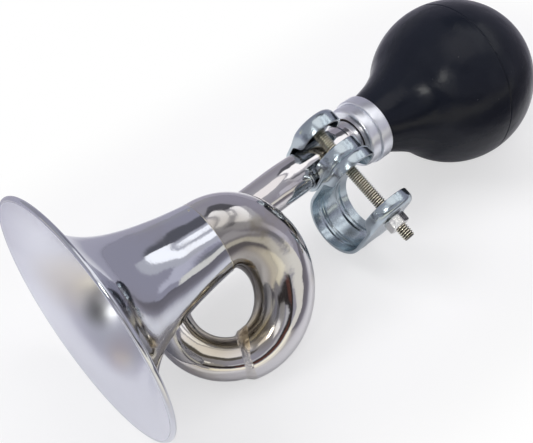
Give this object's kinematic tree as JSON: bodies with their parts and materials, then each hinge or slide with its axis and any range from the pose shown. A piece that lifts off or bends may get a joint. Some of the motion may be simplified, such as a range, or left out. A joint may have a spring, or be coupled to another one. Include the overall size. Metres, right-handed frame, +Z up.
{
  "type": "bicycle horn",
  "caption": "Bulb horn for a handlebar: a flared bell, a tube with a soldered loop, a rubber ball on a metal collar, and a swivelling clamp of folded bands.",
  "frame": {"origin": "under the middle of the box round the horn as it lies, on the table", "axes": "+X along the stem from the bell to the bulb, +Z up; the horn lies on its bell rim, its loop and its ball, with the clamp's bolt sloping down towards -Y"},
  "size_m": [0.2334, 0.0982, 0.0994],
  "materials": {
    "bell_plate": "thin bright plating, polished",
    "loop_plate": "thin bright plating, polished",
    "stem_plate": "thin bright plating, polished",
    "solder": "rough, browned",
    "brass": "plain",
    "spring_brass": "rolled",
    "collar_zinc": "bright zinc",
    "rubber": "moulded, slightly dusty",
    "band_zinc": "zinc plated",
    "bolt_zinc": "zinc plated, faintly yellow"
  },
  "bodies": {
    "horn": {"bell": "bell_plate", "bell_solder": "solder", "coil_upper_half": "loop_plate", "coil_lower_half": "loop_plate", "coil_solder": "solder", "stem_tube": "stem_plate", "stem_ferrule": "stem_plate", "reed_holder": "brass", "reed_shallot": "brass", "reed_clip": "brass"},
    "tongue": {"reed_tongue": "spring_brass"},
    "bulb_assembly": {"bulb": "rubber", "bulb_collar": "collar_zinc", "bulb_socket": "brass"},
    "stem_clamp": {"stem_band": "band_zinc"},
    "bar_clamp": {"bar_band": "band_zinc"},
    "bolt": {"clamp_bolt": "bolt_zinc"},
    "nut": {"clamp_nut": "bolt_zinc"}
  },
  "joints": [
    {"name": "stem_turn", "type": "hinge", "parent": "horn", "child": "stem_clamp", "pos_m": [0.00502, 0.00967, 0.03584], "axis": [1, 0, 0], "continuous": true},
    {"name": "bar_swivel", "type": "hinge", "parent": "stem_clamp", "child": "bar_clamp", "pos_m": [0.00502, -0.0172, 0.03973], "axis": [0, 0.9511, 0.309], "range_deg": [-20, 87]},
    {"name": "bolt_turn", "type": "hinge", "parent": "stem_clamp", "child": "bolt", "pos_m": [0.00502, -0.0172, 0.03973], "axis": [0, 0.9511, 0.309], "range_deg": [0, 2521]},
    {"name": "nut_travel", "type": "slide", "parent": "bar_clamp", "child": "nut", "axis": [0, -0.9511, -0.309], "range_m": [0, 0.0056]},
    {"name": "bulb_pull", "type": "slide", "parent": "horn", "child": "bulb_assembly", "axis": [1, 0, 0], "range_m": [0, 0.018]},
    {"name": "reed_beat", "type": "hinge", "parent": "horn", "child": "tongue", "pos_m": [0.03682, 0.0094, 0.03667], "axis": [0, 0.9511, 0.309], "range_deg": [0, 1.6], "stiffness_Nm_per_rad": 0.01}
  ],
  "couplings": [
    {"joint": "bolt_turn", "follows": "nut_travel", "rad_per_m": 7854}
  ]
}
